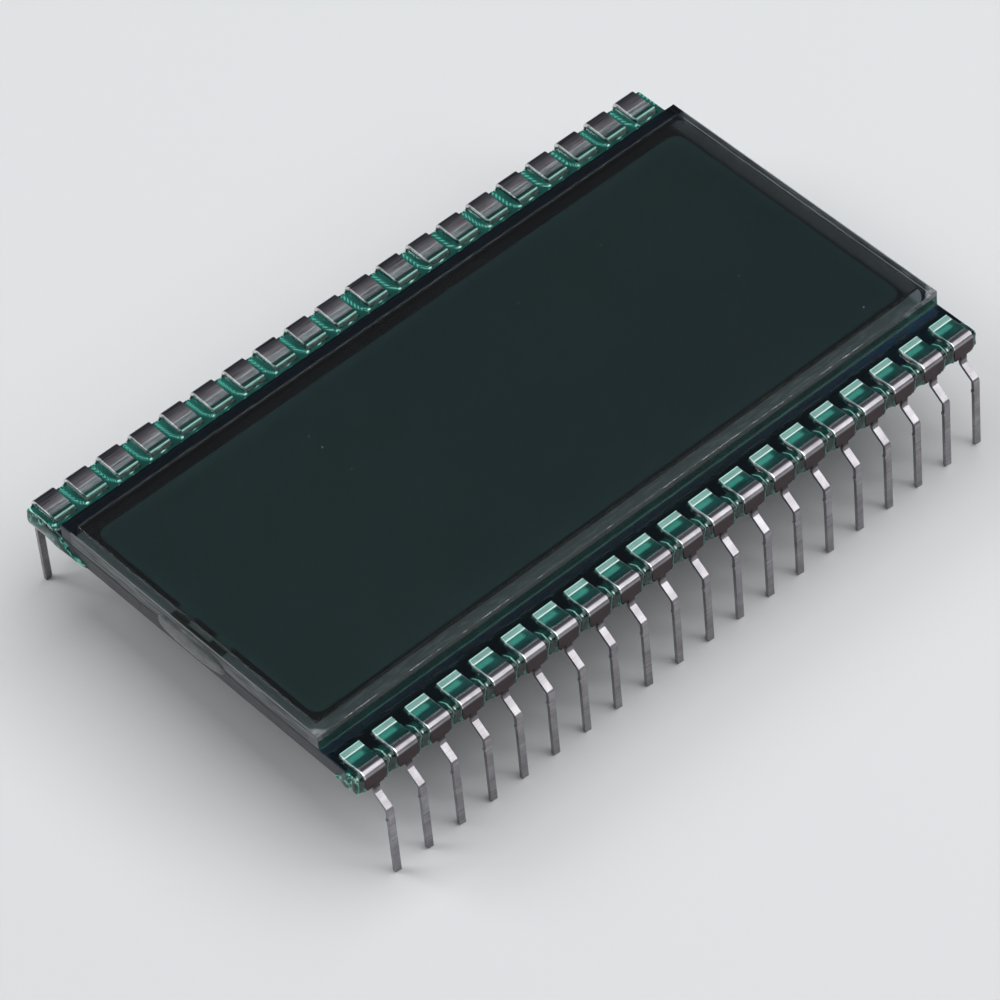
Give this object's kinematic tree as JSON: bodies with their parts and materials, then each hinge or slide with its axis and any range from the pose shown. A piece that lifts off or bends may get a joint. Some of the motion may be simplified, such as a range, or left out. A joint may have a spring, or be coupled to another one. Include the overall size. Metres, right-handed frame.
{
  "type": "liquid crystal display module",
  "caption": "Bare glass display cell with a row of stamped clip pins along each long edge, sealed over with teal resin, its legs bent down for a board.",
  "frame": {"origin": "on the board plane under the leg tips, midway between the two rows and midway along the rear glass", "axes": "+X along the pin rows, away from the fill port; +Y from the near row to the far row; +Z out of the viewing face"},
  "size_m": [0.0511, 0.0332, 0.0096],
  "materials": {
    "glass": "clear, polished faces and scribed edges",
    "polarizer": "satin film",
    "seal": "matte",
    "liquid_crystal": "clear layer, dark between its films",
    "plug": "smooth, slightly cloudy",
    "resin": "clear teal, glossy",
    "pin": "tinned, fine lines across the fingers"
  },
  "bodies": {
    "root": {"rear_glass": "glass", "front_glass": "glass", "front_polarizer": "polarizer", "rear_polarizer": "polarizer", "perimeter_seal": "seal", "port_island": "seal", "liquid_crystal": "liquid_crystal", "end_seal": "plug", "resin_bead_near": "resin", "resin_bead_far": "resin", "pin_01": "pin", "pin_02": "pin", "pin_03": "pin", "pin_04": "pin", "pin_05": "pin", "pin_06": "pin", "pin_07": "pin", "pin_08": "pin", "pin_09": "pin", "pin_10": "pin", "pin_11": "pin", "pin_12": "pin", "pin_13": "pin", "pin_14": "pin", "pin_15": "pin", "pin_16": "pin", "pin_17": "pin", "pin_18": "pin", "pin_19": "pin", "pin_20": "pin", "pin_21": "pin", "pin_22": "pin", "pin_23": "pin", "pin_24": "pin", "pin_25": "pin", "pin_26": "pin", "pin_27": "pin", "pin_28": "pin", "pin_29": "pin", "pin_30": "pin", "pin_31": "pin", "pin_32": "pin", "pin_33": "pin", "pin_34": "pin", "pin_35": "pin", "pin_36": "pin", "pin_37": "pin", "pin_38": "pin", "pin_39": "pin", "pin_40": "pin"}
  },
  "joints": []
}
